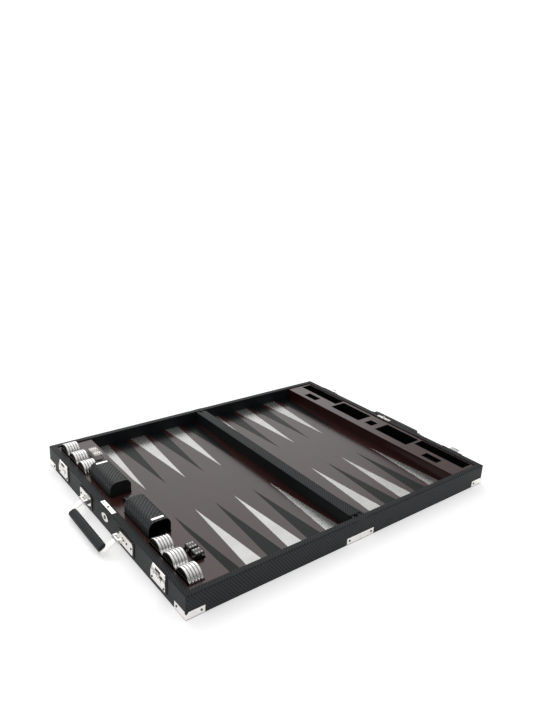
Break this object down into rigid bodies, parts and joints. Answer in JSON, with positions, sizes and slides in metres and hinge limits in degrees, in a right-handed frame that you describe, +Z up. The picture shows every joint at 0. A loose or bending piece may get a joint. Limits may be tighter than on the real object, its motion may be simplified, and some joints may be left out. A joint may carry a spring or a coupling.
{
  "type": "backgammon set",
  "caption": "Folding attache-case backgammon board shown open, with leather playing field, storage decks holding checkers, dice and cups, latches and carrying handles.",
  "frame": {"origin": "centre of the opened set on the surface it lies on", "axes": "+X from the left half, which holds the pieces, to the right half; +Y along the bar to the far side; +Z up"},
  "size_m": [0.7802, 0.5356, 0.065],
  "materials": {
    "case_wood": "plain sawn",
    "case_leather": "charcoal twill embossed",
    "black_leather": "black grained",
    "field_leather": "taupe semi-gloss",
    "silver_leather": "silver grey satin",
    "slate_leather": "slate satin",
    "black_suede": "flocked",
    "checker_metal": "polished",
    "white_plastic": "polished",
    "black_plastic": "polished",
    "cup_leather": "charcoal ribbed",
    "black_rubber": "matt",
    "black_steel": "blackened",
    "nickel_plate": "bright nickel plate"
  },
  "bodies": {
    "left_case": {"left_base_leather": "case_leather", "left_base_panel": "case_wood", "left_case_leather": "case_leather", "left_corner_guards": "nickel_plate", "left_dark_points": "slate_leather", "left_deck_leather": "field_leather", "left_field_leather": "field_leather", "left_frame": "case_wood", "left_handle_brackets": "nickel_plate", "left_hardware_pads": "black_leather", "left_hinge_leaves": "black_steel", "left_latch_plates": "nickel_plate", "left_light_points": "silver_leather", "left_pocket_linings": "black_suede", "left_screws": "nickel_plate", "left_storage_blocks": "case_wood", "left_strike_plate": "nickel_plate", "lock_escutcheon": "nickel_plate", "hinge_pins": "black_steel", "hinge_strip": "case_leather"},
    "right_case": {"right_base_leather": "case_leather", "right_base_panel": "case_wood", "right_case_leather": "case_leather", "right_corner_guards": "nickel_plate", "right_dark_points": "slate_leather", "right_deck_leather": "field_leather", "right_field_leather": "field_leather", "right_frame": "case_wood", "right_handle_brackets": "nickel_plate", "right_hardware_pads": "black_leather", "right_hasp_bases": "nickel_plate", "right_hinge_leaves": "black_steel", "right_light_points": "silver_leather", "right_pin_plate": "nickel_plate", "right_pocket_linings": "black_suede", "right_screws": "nickel_plate", "right_storage_blocks": "case_wood"},
    "left_handle": {"left_handle_frame": "nickel_plate", "left_handle_grip": "black_leather"},
    "right_handle": {"right_handle_frame": "nickel_plate", "right_handle_grip": "black_leather"},
    "far_latch_slide": {"far_latch_slide": "nickel_plate"},
    "near_latch_slide": {"near_latch_slide": "nickel_plate"},
    "far_hasp": {"far_hasp": "nickel_plate"},
    "near_hasp": {"near_hasp": "nickel_plate"},
    "lock_plug": {"lock_plug": "nickel_plate"},
    "far_inner_row": {"far_inner_checkers": "checker_metal"},
    "far_middle_row": {"far_middle_checkers": "checker_metal"},
    "far_outer_row": {"far_outer_checkers": "checker_metal"},
    "far_cup": {"far_cup_body": "cup_leather", "far_cup_base": "black_rubber"},
    "near_inner_row": {"near_inner_checkers": "checker_metal"},
    "near_middle_row": {"near_middle_checkers": "checker_metal"},
    "near_outer_row": {"near_outer_checkers": "checker_metal"},
    "near_cup": {"near_cup_body": "cup_leather", "near_cup_base": "black_rubber"},
    "white_dice": {"white_dice": "white_plastic"},
    "black_dice": {"black_dice": "black_plastic"},
    "doubling_cube": {"doubling_cube": "black_plastic"}
  },
  "joints": [
    {"name": "case_fold", "type": "hinge", "parent": "left_case", "child": "right_case", "pos_m": [0, 0, 0.04065], "axis": [0, 1, 0], "range_deg": [-180, 0], "deforming": ["hinge_strip"]},
    {"name": "left_handle_swing", "type": "hinge", "parent": "left_case", "child": "left_handle", "pos_m": [-0.3585, 0, 0.0235], "axis": [0, 1, 0], "range_deg": [0, 50]},
    {"name": "right_handle_swing", "type": "hinge", "parent": "right_case", "child": "right_handle", "pos_m": [0.3585, 0, 0.0235], "axis": [0, -1, 0], "range_deg": [0, 33]},
    {"name": "far_latch_release", "type": "slide", "parent": "left_case", "child": "far_latch_slide", "axis": [0, 1, 0], "range_m": [0, 0.006], "stiffness_N_per_m": 120},
    {"name": "near_latch_release", "type": "slide", "parent": "left_case", "child": "near_latch_slide", "axis": [0, 1, 0], "range_m": [0, 0.006], "stiffness_N_per_m": 120},
    {"name": "far_hasp_swing", "type": "hinge", "parent": "right_case", "child": "far_hasp", "pos_m": [0.351, 0.188, 0.0365], "axis": [0, -1, 0], "range_deg": [0, 90]},
    {"name": "near_hasp_swing", "type": "hinge", "parent": "right_case", "child": "near_hasp", "pos_m": [0.351, -0.188, 0.0365], "axis": [0, -1, 0], "range_deg": [0, 90]},
    {"name": "key_turn", "type": "hinge", "parent": "left_case", "child": "lock_plug", "pos_m": [-0.3465, 0, 0.0228], "axis": [1, 0, 0], "range_deg": [0, 90]},
    {"name": "far_inner_row_lift", "type": "slide", "parent": "left_case", "child": "far_inner_row", "axis": [0, 0, 1], "range_m": [0, 0.06]},
    {"name": "far_middle_row_lift", "type": "slide", "parent": "left_case", "child": "far_middle_row", "axis": [0, 0, 1], "range_m": [0, 0.06]},
    {"name": "far_outer_row_lift", "type": "slide", "parent": "left_case", "child": "far_outer_row", "axis": [0, 0, 1], "range_m": [0, 0.06]},
    {"name": "far_cup_lift", "type": "slide", "parent": "left_case", "child": "far_cup", "axis": [0, 0, 1], "range_m": [0, 0.06]},
    {"name": "near_inner_row_lift", "type": "slide", "parent": "left_case", "child": "near_inner_row", "axis": [0, 0, 1], "range_m": [0, 0.06]},
    {"name": "near_middle_row_lift", "type": "slide", "parent": "left_case", "child": "near_middle_row", "axis": [0, 0, 1], "range_m": [0, 0.06]},
    {"name": "near_outer_row_lift", "type": "slide", "parent": "left_case", "child": "near_outer_row", "axis": [0, 0, 1], "range_m": [0, 0.06]},
    {"name": "near_cup_lift", "type": "slide", "parent": "left_case", "child": "near_cup", "axis": [0, 0, 1], "range_m": [0, 0.06]},
    {"name": "white_dice_lift", "type": "slide", "parent": "left_case", "child": "white_dice", "axis": [0, 0, 1], "range_m": [0, 0.03]},
    {"name": "black_dice_lift", "type": "slide", "parent": "left_case", "child": "black_dice", "axis": [0, 0, 1], "range_m": [0, 0.03]},
    {"name": "doubling_cube_lift", "type": "slide", "parent": "left_case", "child": "doubling_cube", "axis": [0, 0, 1], "range_m": [0, 0.03]}
  ]
}
